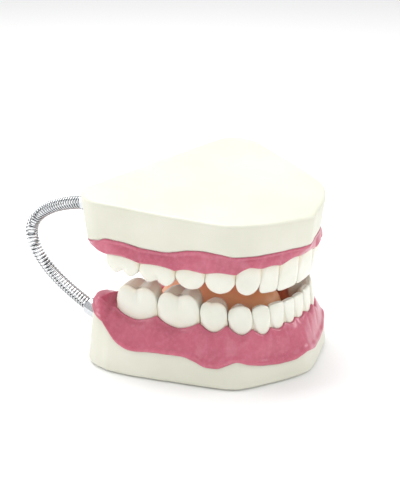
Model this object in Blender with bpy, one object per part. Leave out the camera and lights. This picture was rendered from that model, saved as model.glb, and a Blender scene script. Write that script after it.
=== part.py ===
"""Twice-life-size dental demonstration model (typodont).

Two white bases carry pink gums, fourteen separate teeth each, a tongue and a palate lining.
Two coil springs behind the molars join the jaws. +Z is up, the incisors face -Y, and the
origin is the middle of the lower base's underside. Sizes are in millimetres, and MM turns
them into metres where a mesh or a curve is made.
"""
import math

import bmesh
import bpy
import numpy as np
from mathutils import Matrix, Vector

MM = 0.001
GAP = 0.3                     # clearance between touching pieces

# heights, measured from each jaw's flat outer face towards the biting edges
EDGE_ROUND = 1.2              # rounded rim of each flat outer face
WELL_HEIGHT = 12.0            # the base under the gum
WELL_RIM = 4.0                # the well's bottom starts this far inside the row of teeth
FLOOR_HEIGHT = 19.0           # the gum between the two rows of teeth
SHELF_GAP = GAP + 0.1         # between the base's top and the gum's underside
ROOT_DEPTH = 5.0              # how far a tooth is set into the gum

UPPER_TOP = 95.0              # the upper jaw's flat top, above the origin
UPPER_PITCH = math.radians(4.6)

# the springs
PIVOT = Vector((0.0, 85.0, 57.0))
SPRING_SIDE = 52.0
SPRING_START = Vector((0.0, 50.5, 23.0))
SPRING_END = Vector((0.0, 50.5, 89.2))
SPRING_START_SLOPE = math.radians(15.0)
SPRING_END_SLOPE = math.radians(10.0)
SPRING_HANDLE = 74.0
SPRING_RADIUS = 3.7
WIRE_RADIUS = 0.75
SPRING_TURNS = 38
POINTS_PER_TURN = 8
FERRULE_RADIUS = 5.0
FERRULE_WALL = 0.9
FERRULE_LENGTH = 12.0

# the outline of a jaw
CORNER_RADIUS = 5.0
DEEPEST_CORNER = 4.0          # further in than this, rings no longer follow the corner's arc
STRAIGHTENED = 15.0           # length before the corner over which deep rings turn straight back
SPINE_FRONT = -18.0
SPINE_BACK = 30.0
ROW_STEPS = 20                # points along half of a row of teeth
CORNER_STEPS = 5
BACK_STEPS = 5
TOOTH_SIDES = 12
ROUND_SIDES = 24

# Each jaw: the row of teeth turns from the midline by TURN * tanh((s / ease) ** jaw["power"]), where s
# is the way along the row. Tables give a height or a distance outwards at a few places s.
LOWER = {
    "name": "lower",
    "turn": math.radians(75.5),
    "ease": 38.2,
    "power": 1.58,
    "front": -41.2,
    "row_end": 108.0,
    "taper": 0.12,            # the base's walls lean in by this much per unit of height
    "shelf": [(0, 12.6), (5.5, 11.6), (12, 10.1), (18, 9.3), (24, 10.1), (30, 11.8), (36, 13.6),
              (40, 13.6), (44, 13.1), (59, 13.8), (78, 15.7), (95, 17.3), (102, 17), (108, 15.3),
              (111, 13), (114, 10.5), (117, 8.5)],
    "edge": [(0, 13), (8, 11), (15, 10.8), (23, 12), (30, 14), (35, 16.2), (39, 14.4), (44, 11.8),
             (49, 12), (55, 14.6), (62, 16.2), (76, 16), (88, 15.2), (96, 17), (105, 24.8),
             (110, 30), (114, 34.5), (118, 35), (137, 26)],
    "crest": [(0, 29.5), (26, 28.5), (38, 28), (60, 28.8), (90, 29.5), (104, 32), (111, 38),
              (117, 37.5), (125, 30), (136, 27.5)],
    "floor": FLOOR_HEIGHT,
    "lip": 0.9,               # the gum stands proud of the base by this much
    "teeth": [
        # name, width, crown height, outer side, inner side, breadth of the biting edge
        ("central_incisor", 9.0, 13.0, 3.2, 6.0, 0.22),
        ("lateral_incisor", 9.6, 14.2, 3.5, 6.2, 0.24),
        ("canine", 9.4, 16.0, 4.2, 7.6, 0.30),
        ("first_premolar", 12.4, 16.1, 4.0, 9.6, 0.60),
        ("second_premolar", 14.6, 16.8, 4.0, 10.4, 0.66),
        ("first_molar", 24.6, 20.0, 4.2, 15.0, 0.74),
        ("second_molar", 24.6, 19.4, 4.2, 15.0, 0.74),
    ],
    "tip": [(0, 41.8), (14, 42.8), (24, 43.5), (34, 43.9), (47, 45.2), (60, 47.3), (83, 48),
            (100, 47)],
}
UPPER = {
    "name": "upper",
    "turn": math.radians(75.6),
    "ease": 48.1,
    "power": 1.36,
    "front": -45.9,
    "row_end": 113.0,
    "taper": 0.17,
    "shelf": [(0, 7.4), (4, 6.3), (10, 4.4), (17, 3.4), (30, 3.6), (39, 4.9), (47, 5.5), (59, 5.1),
              (71, 5.4), (84, 6.4), (96, 7.1), (104, 7.6), (111, 8.5), (115, 8.9), (119, 10.4),
              (122, 11.8)],
    "edge": [(0, 16.6), (6, 17), (15, 17.2), (24, 17.8), (32, 18.4), (40, 18.4), (47, 17.2),
             (55, 17), (63, 18.2), (71, 20.8), (79, 22.4), (90, 22.6), (101, 21.4), (109, 21.2),
             (114, 23.4), (118, 25.6), (123, 26.4), (142, 22)],
    "crest": [(0, 23.5), (15, 24), (26, 24.8), (38, 25.6), (50, 28), (70, 29.5), (90, 30.2),
              (108, 30), (115, 30.5), (122, 29.5), (132, 26), (142, 23.5)],
    "floor": FLOOR_HEIGHT - 2.0,
    "lip": 0.3,
    "teeth": [
        ("central_incisor", 14.9, 19.0, 2.8, 7.4, 0.18),
        ("lateral_incisor", 10.9, 16.6, 2.6, 7.0, 0.20),
        ("canine", 13.0, 17.2, 3.4, 8.6, 0.28),
        ("first_premolar", 15.4, 13.3, 3.4, 12.6, 0.66),
        ("second_premolar", 15.8, 12.1, 3.4, 12.6, 0.70),
        ("first_molar", 20.5, 11.7, 3.6, 15.6, 0.76),
        ("second_molar", 19.5, 11.8, 3.6, 15.2, 0.76),
    ],
    "tip": [(0, 42.2), (20, 40.9), (31, 41.4), (46, 40.9), (62, 40.6), (83, 41.7), (98, 41.3),
            (110, 40)],
}
INNER_SIDE = [(0, 7.0), (30, 8.0), (40, 11.0), (60, 14.0), (75, 15.5)]
SIDES = {"right": -1.0, "left": 1.0}


def clear_scene():
    for thing in list(bpy.data.objects):
        bpy.data.objects.remove(thing, do_unlink=True)


def new_collection(name):
    collection = bpy.data.collections.new(name)
    bpy.context.scene.collection.children.link(collection)
    return collection


def new_material(name, colour, roughness, metallic=0.0):
    material = bpy.data.materials.new(name)
    material.use_nodes = True
    shader = material.node_tree.nodes["Principled BSDF"]
    shader.inputs["Base Color"].default_value = (*colour, 1.0)
    shader.inputs["Roughness"].default_value = roughness
    shader.inputs["Metallic"].default_value = metallic
    return material


def read_table(table, s):
    """A smooth curve through a table, without overshoot, and constant past its ends."""
    places = [row[0] for row in table]
    values = [row[1] for row in table]
    s = min(max(abs(s), places[0]), places[-1])
    after = min(max(int(np.searchsorted(places, s)), 1), len(places) - 1)
    before = after - 1
    length = places[after] - places[before]
    share = (s - places[before]) / length
    start_slope = slope_at(places, values, before)
    end_slope = slope_at(places, values, after)
    return (values[before] * (1 + 2 * share) * (1 - share) ** 2
            + start_slope * length * share * (1 - share) ** 2
            + values[after] * (3 - 2 * share) * share ** 2
            - end_slope * length * share ** 2 * (1 - share))


def slope_at(places, values, row):
    """The slope of a table's curve at a row: level at its ends, tops and dips."""
    if row in (0, len(places) - 1):
        return 0.0
    before = (values[row] - values[row - 1]) / (places[row] - places[row - 1])
    after = (values[row + 1] - values[row]) / (places[row + 1] - places[row])
    if before * after <= 0:
        return 0.0
    return 2 * before * after / (before + after)


def heading(jaw, s):
    """The row's direction at s, as an angle from the X axis towards +Y; s < 0 on the right."""
    return math.copysign(jaw["turn"] * math.tanh((abs(s) / jaw["ease"]) ** jaw["power"]), s)


def row_point(jaw, s):
    """A point of the row of teeth, by stepping along its heading from the midline."""
    about_step = 0.5
    steps = max(1, int(round(abs(s) / about_step)))
    length = abs(s) / steps
    x = 0.0
    y = jaw["front"]
    for step in range(steps):
        angle = heading(jaw, (step + 0.5) * length)
        x += math.cos(angle) * length
        y += math.sin(angle) * length
    return Vector((math.copysign(x, s), y, 0.0))


def out_from(angle):
    """The outward direction where the outline runs at an angle."""
    return Vector((math.sin(angle), -math.cos(angle), 0.0))


def half_loop(jaw):
    """Places round half of a jaw, from the front midline by the heel to the back midline.

    Each is (s, point, outward direction, direction inwards for deep rings).
    """
    places = []
    end = jaw["row_end"]
    for step in range(ROW_STEPS + 1):
        s = end * step / ROW_STEPS
        outward = out_from(heading(jaw, s))
        inward = -outward
        inward.y *= 1.0 - read_table([(end - STRAIGHTENED, 0.0), (end, 1.0)], s)
        places.append((s, row_point(jaw, s), outward, inward))
    last, outward = places[-1][1:3]
    centre = last - CORNER_RADIUS * outward
    start = heading(jaw, end)
    for step in range(1, CORNER_STEPS + 1):
        angle = start + (math.pi - start) * step / CORNER_STEPS
        s = end + CORNER_RADIUS * (angle - start)
        places.append((s, centre + CORNER_RADIUS * out_from(angle), out_from(angle), inward))
    corner_s = s
    for step in range(1, BACK_STEPS + 1):
        share = 1.0 - step / BACK_STEPS
        point = Vector((centre.x * share, centre.y + CORNER_RADIUS, 0.0))
        s = corner_s + centre.x * (1.0 - share)
        places.append((s, point, Vector((0.0, 1.0, 0.0)), inward * share))
    return places


def full_loop(jaw):
    """The half loop and its mirror image, as one round of places."""
    half = half_loop(jaw)
    mirrored = []
    for s, *vectors in reversed(half[1:-1]):
        mirrored.append((s, *(Vector((-vector.x, vector.y, 0.0)) for vector in vectors)))
    return half + mirrored


def ring(loop, offset, height, inwards=0.0):
    """One closed ring of a jaw: offset outwards from the row, then a share of the way inwards.

    offset and height are numbers or functions of s.
    """
    points = []
    for s, point, outward, inward in loop:
        out = offset(s) if callable(offset) else offset
        up = height(s) if callable(height) else height
        deep = max(-out - DEEPEST_CORNER, 0.0)
        place = point + max(out, -DEEPEST_CORNER) * outward + deep * inward
        spine = Vector((0.0, min(max(place.y, SPINE_FRONT), SPINE_BACK), 0.0))
        place = place.lerp(spine, inwards)
        points.append(Vector((place.x, place.y, up)))
    return points


def place_in_jaw(jaw, point):
    """From a jaw's own heights to the model's space, in millimetres."""
    if jaw["name"] == "lower":
        return point.copy()
    turned = Matrix.Rotation(UPPER_PITCH, 3, "X") @ Vector((point.x, point.y, -point.z))
    return turned + Vector((0.0, 0.0, UPPER_TOP))


def face_outwards(mesh):
    """Reverse a closed mesh whose faces, all laid the same way round, point inwards."""
    if mesh.calc_volume(signed=True) < 0:
        bmesh.ops.reverse_faces(mesh, faces=mesh.faces)


def join_rings(mesh, rows):
    """Triangles between neighbouring rings, always split along the same diagonal."""
    count = len(rows[0])
    for lower, upper in zip(rows, rows[1:]):
        for here in range(count):
            after = (here + 1) % count
            mesh.faces.new((lower[here], lower[after], upper[after]))
            mesh.faces.new((lower[here], upper[after], upper[here]))


def loft(rings, middle=None):
    """A closed mesh through rings of equally many points.

    The ends are flat, unless the last one rises or falls to a point in its middle.
    """
    mesh = bmesh.new()
    rows = [[mesh.verts.new(point * MM) for point in points] for points in rings]
    join_rings(mesh, rows)
    mesh.faces.new(list(reversed(rows[0])))
    if middle is None:
        mesh.faces.new(rows[-1])
    else:
        top = mesh.verts.new(middle * MM)
        for here, vertex in enumerate(rows[-1]):
            mesh.faces.new((vertex, rows[-1][(here + 1) % len(rows[-1])], top))
    face_outwards(mesh)
    return mesh


def add_piece(name, mesh, material, collection, pivot, smooth_angle=40.0):
    """Turn a bmesh into a named object that hangs from its body's pivot."""
    data = bpy.data.meshes.new(name)
    mesh.to_mesh(data)
    mesh.free()
    piece = bpy.data.objects.new(name, data)
    collection.objects.link(piece)
    piece.parent = pivot
    piece.location = -pivot.location
    if material is not None:
        data.materials.append(material)
    data.shade_smooth()
    data.set_sharp_from_angle(angle=math.radians(smooth_angle))
    return piece


def add_cutter(name, mesh, collection):
    data = bpy.data.meshes.new(name)
    mesh.to_mesh(data)
    mesh.free()
    cutter = bpy.data.objects.new(name, data)
    collection.objects.link(cutter)
    cutter.hide_render = True
    cutter.display_type = "WIRE"
    return cutter


def cut(piece, cutter):
    modifier = piece.modifiers.new(cutter.name, "BOOLEAN")
    modifier.operation = "DIFFERENCE"
    modifier.solver = "EXACT"
    modifier.object = cutter


def add_pivot(name, location, collection):
    pivot = bpy.data.objects.new(name, None)
    pivot.location = location
    collection.objects.link(pivot)
    return pivot


def base_wall(jaw, s):
    """How far the base's wall stands out where it meets the gum."""
    return read_table(jaw["shelf"], s) - jaw["taper"] * read_table(jaw["edge"], s)


def well_height(jaw, s):
    """The base's top under the row of teeth: low, but full height round the heel and the back."""
    end = jaw["row_end"]
    high = read_table(jaw["edge"], s) - 0.5
    low = min(high, WELL_HEIGHT + 2.0)
    return low + (high - low) * read_table([(end - 3.0, 0.0), (end + 5.0, 1.0)], s)


def base_mesh(jaw, loop):
    """The base, from its flat outer face up its wall and down into the well under the gum."""
    def shelf(s):
        return read_table(jaw["shelf"], s)

    part_round = 0.35 * EDGE_ROUND
    rings = [
        ring(loop, lambda s: shelf(s) - EDGE_ROUND, 0.0),
        ring(loop, lambda s: shelf(s) - part_round, part_round),
        ring(loop, lambda s: shelf(s) - jaw["taper"] * EDGE_ROUND, EDGE_ROUND),
        ring(loop, lambda s: base_wall(jaw, s), lambda s: read_table(jaw["edge"], s)),
        ring(loop, 0.0, lambda s: well_height(jaw, s)),
        ring(loop, -WELL_RIM, WELL_HEIGHT),
    ]
    return loft([[place_in_jaw(jaw, point) for point in points] for points in rings])


def outer_side(jaw, s):
    """How far the teeth stand out from the row at s."""
    place = 0.0
    for _, width, _, outer, _, _ in jaw["teeth"]:
        place += width
        if abs(s) < place:
            return outer
    return jaw["teeth"][-1][3]


def gum_mesh(jaw, loop):
    """The gum, from its floor over its crest and its lip to its underside on the base."""
    def edge(s):
        return read_table(jaw["edge"], s) + SHELF_GAP

    def wall(s):
        return base_wall(jaw, s)

    def lip(s):
        return base_wall(jaw, s) + jaw["lip"]

    def top(s):
        return max(read_table(jaw["crest"], s), edge(s) + 1.2)

    def between(s, share):
        return edge(s) + share * (top(s) - edge(s))

    def brow(s):
        return min(outer_side(jaw, s) + 0.7, wall(s) - 0.2)

    def inner(s):
        return -read_table(INNER_SIDE, s)

    def slope_foot(s):
        return max(top(s) - 7.0, jaw["floor"] + 1.0)

    rings = [
        ring(loop, lambda s: inner(s) - 1.0, jaw["floor"], 0.16),
        ring(loop, lambda s: inner(s) - 1.0, slope_foot, 0.06),
        ring(loop, inner, lambda s: top(s) - 1.0),
        ring(loop, lambda s: inner(s) * 0.5, top),
        ring(loop, brow, top),
        ring(loop, lambda s: 0.4 * lip(s) + 0.6 * brow(s), lambda s: between(s, 0.62)),
        ring(loop, lip, lambda s: between(s, 0.3)),
        ring(loop, lip, edge),
        ring(loop, wall, edge),
        ring(loop, 0.0, lambda s: well_height(jaw, s) + SHELF_GAP),
        ring(loop, -WELL_RIM - SHELF_GAP, WELL_HEIGHT + SHELF_GAP),
    ]
    return loft([[place_in_jaw(jaw, point) for point in points] for points in rings])


def tooth_mesh(jaw, start, end, spec, grow=0.0):
    """A tooth between two places of the row: root, neck, belly and biting edge."""
    _, _, crown, outer, inner, breadth = spec
    first = row_point(jaw, start)
    second = row_point(jaw, end)
    along = (second - first).normalized()
    outward = Vector((along.y, -along.x, 0.0))
    middle = (first + second) / 2
    width = (second - first).length - GAP
    bend = (heading(jaw, end) - heading(jaw, start)) / (second - first).length
    tip = read_table(jaw["tip"], (start + end) / 2)
    neck = tip - crown
    depth = (outer + inner) / 2
    offset = (outer - inner) / 2
    squared = 0.8
    # height, share of the width, share of the depth, offset outwards
    levels = [
        (neck - ROOT_DEPTH - grow, 0.62, 0.60, offset),
        (neck, 0.76, 0.80, offset),
        (neck + 0.35 * crown, 0.95, 0.98, offset),
        (neck + 0.68 * crown, 1.0, 0.5 * (0.96 + breadth), offset * 0.8),
        (tip - 0.05 * crown, 0.93, breadth * 1.05, offset * 0.67),
        (tip + grow, 0.84, breadth * 0.8, offset * 0.6),
    ]
    rings = []
    for height, across, deep, side in levels:
        points = []
        for corner in range(TOOTH_SIDES):
            angle = 2 * math.pi * (corner + 0.5) / TOOTH_SIDES
            cosine = math.copysign(abs(math.cos(angle)) ** squared, math.cos(angle))
            sine = math.copysign(abs(math.sin(angle)) ** squared, math.sin(angle))
            out = side + (depth * deep + grow) * sine
            sideways = (width * across / 2 + grow) * cosine * max(0.3, 1.0 + bend * out)
            place = middle + sideways * along + out * outward
            points.append(place_in_jaw(jaw, Vector((place.x, place.y, height))))
        rings.append(points)
    return loft(rings)


def add_teeth(jaw, material, collection, cutters, pivot, gum):
    for side, sign in SIDES.items():
        place = 0.0
        for spec in jaw["teeth"]:
            start, end = place, place + spec[1]
            place = end
            low, high = sorted((sign * start, sign * end))
            name = f"{jaw['name']}_{side}_{spec[0]}"
            add_piece(name, tooth_mesh(jaw, low, high, spec), material, collection, pivot)
            socket = tooth_mesh(jaw, low, high, spec, grow=GAP)
            cut(gum, add_cutter(f"socket_{name}", socket, cutters))


def tongue_mesh():
    """Cross sections from the root of the tongue to its tip, each flat underneath."""
    # distance along Y, half width, height of the top
    sections = [(38, 18, 33), (34, 22, 37), (26, 24.5, 41), (12, 24.5, 42.5), (-3, 22, 42),
                (-15, 17.5, 40.5), (-24, 12, 37.5), (-29.5, 5.5, 32)]
    bottom = FLOOR_HEIGHT + GAP
    foot_share = 0.72             # the flat underside's share of the width
    side_height = 8.0             # where the tongue is widest, above its underside
    tuck = 10.0                   # how steeply the side turns in under that
    arc_steps = 8
    rings = []
    for y, half_width, top in sections:
        points = [Vector((-foot_share * half_width, y, bottom)),
                  Vector((foot_share * half_width, y, bottom))]
        for step in range(arc_steps + 1):
            angle = math.radians(-18 + 216 * step / arc_steps)
            rise = math.sin(angle)
            height = bottom + side_height + max(rise, 0.0) * (top - bottom - side_height)
            height += min(rise, 0.0) * tuck
            points.append(Vector((half_width * math.cos(angle), y, height)))
        rings.append(points)
    return loft(rings)


def palate_mesh(loop):
    """A shallow vault inside the upper gum."""
    def inner(s):
        return -read_table(INNER_SIDE, s) - 1.0

    floor = UPPER["floor"] + GAP
    rings = [
        ring(loop, inner, floor, 0.20),
        ring(loop, inner, floor + 5.5, 0.13),
        ring(loop, inner, floor + 6.0, 0.20),
        ring(loop, inner, floor + 3.0, 0.42),
    ]
    middle = place_in_jaw(UPPER, Vector((0.0, 5.0, floor + 2.2)))
    return loft([[place_in_jaw(UPPER, point) for point in points] for points in rings], middle)


def spring_curve(share):
    """The middle line of a spring: one smooth bow from the lower base to the upper one."""
    out = Vector((0.0, math.cos(SPRING_START_SLOPE), math.sin(SPRING_START_SLOPE)))
    back = Vector((0.0, math.cos(SPRING_END_SLOPE), -math.sin(SPRING_END_SLOPE)))
    first = SPRING_START
    second = first + SPRING_HANDLE * out
    fourth = SPRING_END
    third = fourth + SPRING_HANDLE * back
    rest = 1.0 - share
    return (rest ** 3 * first + 3 * rest ** 2 * share * second
            + 3 * rest * share ** 2 * third + share ** 3 * fourth)


def add_spring(name, side, material, collection, pivot):
    curve = bpy.data.curves.new(name, "CURVE")
    curve.dimensions = "3D"
    curve.bevel_depth = WIRE_RADIUS * MM
    curve.bevel_resolution = 0
    curve.use_fill_caps = True
    count = SPRING_TURNS * POINTS_PER_TURN + 1
    spline = curve.splines.new("POLY")
    spline.points.add(count - 1)
    radius = SPRING_RADIUS - WIRE_RADIUS
    across = Vector((1.0, 0.0, 0.0))
    look_ahead = 0.01
    for index in range(count):
        share = index / (count - 1)
        here = spring_curve(share)
        ahead = spring_curve(min(share + look_ahead, 1.0))
        ahead = ahead - spring_curve(max(share - look_ahead, 0.0))
        normal = across.cross(ahead.normalized())
        angle = 2 * math.pi * index / POINTS_PER_TURN
        place = here + radius * (math.cos(angle) * normal + math.sin(angle) * across)
        place = (place + Vector((side, 0.0, 0.0))) * MM
        spline.points[index].co = (*place, 1.0)
    curve.materials.append(material)
    piece = bpy.data.objects.new(name, curve)
    collection.objects.link(piece)
    piece.parent = pivot
    piece.location = -pivot.location
    return piece


def cup_mesh(radius, wall, length, floor):
    """A turned cup along +Z, closed at z = 0, as rings from its floor round to its underside."""
    profile = [(radius, 0.0), (radius, length), (radius - wall, length), (radius - wall, floor)]
    rings = []
    for distance, height in profile:
        points = []
        for corner in range(ROUND_SIDES):
            angle = 2 * math.pi * corner / ROUND_SIDES
            points.append(Vector((distance * math.cos(angle), distance * math.sin(angle), height)))
        rings.append(points)
    return loft(rings)


def spring_end_matrix(side, at_top):
    """Turns +Z of a cup along the spring, with the cup's floor just behind the spring's end."""
    slope = -SPRING_END_SLOPE if at_top else SPRING_START_SLOPE
    end = SPRING_END if at_top else SPRING_START
    direction = Vector((0.0, math.cos(slope), math.sin(slope)))
    back_off = FERRULE_WALL + GAP + WIRE_RADIUS
    place = end + Vector((side, 0.0, 0.0)) - back_off * direction
    return Matrix.Translation(place * MM) @ direction.to_track_quat("Z", "X").to_matrix().to_4x4()


def add_ferrule(name, side, at_top, material, collection, cutters, pivot, base):
    matrix = spring_end_matrix(side, at_top)
    cup = cup_mesh(FERRULE_RADIUS, FERRULE_WALL, FERRULE_LENGTH, FERRULE_WALL)
    cup.transform(matrix)
    add_piece(name, cup, material, collection, pivot)
    hole = bmesh.new()
    reach = 2 * FERRULE_LENGTH
    hole_radius = (FERRULE_RADIUS + GAP) * MM
    bmesh.ops.create_cone(hole, cap_ends=True, segments=ROUND_SIDES, radius1=hole_radius,
                          radius2=hole_radius, depth=reach * MM)
    hole.transform(matrix @ Matrix.Translation((0.0, 0.0, (reach / 2 - GAP) * MM)))
    cut(base, add_cutter(f"hole_{name}", hole, cutters))


def build():
    clear_scene()
    model = new_collection("typodont_model")
    cutters = new_collection("cutters")
    white = new_material("base_white", (0.80, 0.79, 0.74), 0.35)
    pink = new_material("gum_pink", (0.75, 0.20, 0.24), 0.25)
    enamel = new_material("tooth_enamel", (0.86, 0.84, 0.76), 0.18)
    flesh = new_material("tongue_flesh", (0.72, 0.28, 0.17), 0.35)
    lining = new_material("palate_flesh", (0.70, 0.26, 0.18), 0.35)
    chrome = new_material("spring_chrome", (0.62, 0.63, 0.65), 0.2, 1.0)

    lower_pivot = add_pivot("lower_jaw_pivot", Vector((0.0, 0.0, 0.0)), model)
    upper_pivot = add_pivot("upper_jaw_pivot", PIVOT * MM, model)
    spring_pivot = add_pivot("springs_pivot", PIVOT * MM, model)

    for jaw, pivot in ((LOWER, lower_pivot), (UPPER, upper_pivot)):
        loop = full_loop(jaw)
        name = jaw["name"]
        base = add_piece(f"{name}_base", base_mesh(jaw, loop), white, model, pivot)
        gum = add_piece(f"{name}_gum", gum_mesh(jaw, loop), pink, model, pivot)
        add_teeth(jaw, enamel, model, cutters, pivot, gum)
        for side, sign in SIDES.items():
            add_ferrule(f"{name}_{side}_ferrule", sign * SPRING_SIDE, jaw is UPPER, chrome, model,
                        cutters, pivot, base)
    add_piece("tongue", tongue_mesh(), flesh, model, lower_pivot, 60.0)
    add_piece("palate", palate_mesh(full_loop(UPPER)), lining, model, upper_pivot)
    for side, sign in SIDES.items():
        add_spring(f"{side}_spring", sign * SPRING_SIDE, chrome, model, spring_pivot)


build()
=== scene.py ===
# %% [markdown]
# # A hinged teaching model of the teeth
#
# The object is a dental demonstration model at twice life size. Two white bases carry pink
# gums, and twenty-eight separate teeth stand in them. A tongue lies in the lower jaw, a palate
# lines the upper one, and two bowed coil springs at the back join the halves. The frame below
# holds the plain functional solids. Each cell after it makes one finish or one kind of piece.

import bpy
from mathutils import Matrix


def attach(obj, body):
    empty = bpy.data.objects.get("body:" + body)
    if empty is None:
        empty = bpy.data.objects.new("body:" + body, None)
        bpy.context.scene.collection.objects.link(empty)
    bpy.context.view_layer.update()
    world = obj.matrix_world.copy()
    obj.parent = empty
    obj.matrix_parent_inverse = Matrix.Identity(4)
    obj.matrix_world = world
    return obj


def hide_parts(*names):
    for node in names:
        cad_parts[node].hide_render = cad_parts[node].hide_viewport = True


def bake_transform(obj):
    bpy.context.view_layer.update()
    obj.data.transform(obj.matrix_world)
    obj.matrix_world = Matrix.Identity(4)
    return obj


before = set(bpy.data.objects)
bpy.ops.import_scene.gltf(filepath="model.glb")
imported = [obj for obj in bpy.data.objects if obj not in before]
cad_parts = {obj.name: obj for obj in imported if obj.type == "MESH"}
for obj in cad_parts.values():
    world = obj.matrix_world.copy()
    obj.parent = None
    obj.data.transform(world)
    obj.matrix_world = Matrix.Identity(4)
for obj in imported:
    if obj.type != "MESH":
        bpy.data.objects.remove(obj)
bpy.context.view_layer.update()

import math

import bpy
import numpy as np
from mathutils import Vector

MM = 0.001
print("nodes in the frame:", len(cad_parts))

# %% [markdown]
# ## Camera
# The model is seen from its own right front corner, a little from above. A long lens keeps the
# bases' edges nearly parallel. The lens could also be chosen by eye with the view locked to the
# camera, but a distance and two angles are easier to change later.

# %% Place the camera
AIM = Vector((-0.0110, 0.0138, 0.0583))
CAMERA_DISTANCE = 0.6641
CAMERA_AZIMUTH = math.radians(-50.8)
CAMERA_ELEVATION = math.radians(22.0)

camera_data = bpy.data.cameras.new("camera")
camera_data.lens = 86.4
camera = bpy.data.objects.new("camera", camera_data)
bpy.context.scene.collection.objects.link(camera)
towards_camera = Vector((math.sin(CAMERA_AZIMUTH) * math.cos(CAMERA_ELEVATION),
                         -math.cos(CAMERA_AZIMUTH) * math.cos(CAMERA_ELEVATION),
                         math.sin(CAMERA_ELEVATION)))
camera.location = AIM + CAMERA_DISTANCE * towards_camera
camera.rotation_euler = (-towards_camera).to_track_quat("-Z", "Y").to_euler()
bpy.context.scene.camera = camera
print("camera at", [round(value, 3) for value in camera.location])

# %% [markdown]
# ## Floor and light
# A product shot in a light tent stands on a floor so bright that it shows no shadow. A white plane under a
# strong broad lamp does the same, and it also bleaches the flat top. A second lamp lights the front teeth, a
# weaker one reaches in between the jaws from the near side, and the last, from behind, gives the springs and
# the far edges a rim. Moving lamps is quicker than repainting, so the broad balance of light and shade is set
# here; a few finishes below still paint shade or light into their colours.

# %% Make the floor and the lamps
LAMP_TARGET = Vector((0.0, 0.0, 0.05))
FLOOR_DROP = 0.0004
SKY_STRENGTH = 0.66


def simple_material(name, colour, roughness):
    material = bpy.data.materials.new(name)
    material.use_nodes = True
    shader = material.node_tree.nodes["Principled BSDF"]
    shader.inputs["Base Color"].default_value = (*colour, 1.0)
    shader.inputs["Roughness"].default_value = roughness
    return material


def add_floor():
    bpy.ops.mesh.primitive_plane_add(size=6.0, location=(0.0, 0.0, -FLOOR_DROP))
    floor = bpy.context.object
    floor.name = "floor"
    floor.data.materials.append(simple_material("floor_white", (0.93, 0.93, 0.93), 0.6))


def add_lamp(name, direction, distance, size, power):
    data = bpy.data.lights.new(name, "AREA")
    data.shape = "DISK"
    data.size = size
    data.energy = power
    lamp = bpy.data.objects.new(name, data)
    way = Vector(direction).normalized()
    lamp.location = LAMP_TARGET + distance * way
    lamp.rotation_euler = (-way).to_track_quat("-Z", "Y").to_euler()
    bpy.context.scene.collection.objects.link(lamp)


add_floor()
add_lamp("key_lamp", (0.65, -0.75, 0.6), 1.1, 0.5, 3.4)
add_lamp("fill_lamp", (-0.78, -0.62, 0.16), 1.0, 0.8, 2.2)
add_lamp("top_lamp", (0.1, 0.35, 1.0), 1.0, 0.8, 8.5)
add_lamp("rear_lamp", (-0.6, 0.8, 0.45), 1.1, 0.5, 2.8)

world = bpy.data.worlds.new("white_tent")
bpy.context.scene.world = world
world.use_nodes = True
world.node_tree.nodes["Background"].inputs["Color"].default_value = (1.0, 1.0, 1.0, 1.0)
world.node_tree.nodes["Background"].inputs["Strength"].default_value = SKY_STRENGTH
bpy.context.scene.view_settings.view_transform = "Standard"

# %% [markdown]
# ## Surface finishes
# Every finish is a Principled shader with noise textures in object space, so that the pattern
# stays on the piece as it moves. A small helper wires noise, a colour ramp and bump, which keeps
# each finish to a few lines that say only what is special about it.

# %% Helper: wire a noise pattern into colour, roughness and bump
def noise(tree, scale, detail=3.0, roughness=0.5):
    node = tree.nodes.new("ShaderNodeTexNoise")
    node.inputs["Scale"].default_value = scale
    node.inputs["Detail"].default_value = detail
    node.inputs["Roughness"].default_value = roughness
    coordinates = tree.nodes.new("ShaderNodeTexCoord")
    tree.links.new(coordinates.outputs["Object"], node.inputs["Vector"])
    return node.outputs["Fac"]


def ramp(tree, source, stops):
    """A colour ramp; each stop is (position, colour)."""
    node = tree.nodes.new("ShaderNodeValToRGB")
    elements = node.color_ramp.elements
    while len(elements) < len(stops):
        elements.new(0.5)
    for element, (position, colour) in zip(elements, stops):
        element.position = position
        element.color = (*colour, 1.0)
    tree.links.new(source, node.inputs["Fac"])
    return node.outputs["Color"]


def mix_colour(tree, share, first, second):
    node = tree.nodes.new("ShaderNodeMix")
    node.data_type = "RGBA"
    tree.links.new(share, node.inputs["Factor"])
    for socket, value in ((node.inputs["A"], first), (node.inputs["B"], second)):
        if isinstance(value, tuple):
            socket.default_value = (*value, 1.0)
        else:
            tree.links.new(value, socket)
    return node.outputs["Result"]


def add_bump(tree, shader, layers):
    """Bump layers one on another; each is (pattern, depth in mm, strength)."""
    normal = None
    for pattern, depth, strength in layers:
        node = tree.nodes.new("ShaderNodeBump")
        node.inputs["Distance"].default_value = depth * MM
        node.inputs["Strength"].default_value = strength
        tree.links.new(pattern, node.inputs["Height"])
        if normal is not None:
            tree.links.new(normal, node.inputs["Normal"])
        normal = node.outputs["Normal"]
    tree.links.new(normal, shader.inputs["Normal"])


def roughness_range(tree, shader, pattern, low, high):
    node = tree.nodes.new("ShaderNodeMapRange")
    node.inputs["To Min"].default_value = low
    node.inputs["To Max"].default_value = high
    tree.links.new(pattern, node.inputs["Value"])
    tree.links.new(node.outputs["Result"], shader.inputs["Roughness"])


def start_material(name):
    material = bpy.data.materials.new(name)
    material.use_nodes = True
    tree = material.node_tree
    return material, tree, tree.nodes["Principled BSDF"]


# %% [markdown]
# ## White base finish
# The bases are cast in a hard white material and rubbed smooth. Close up such a casting has
# faint warm clouds and a very fine pitted grain, so two noise scales drive colour and bump.

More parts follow.
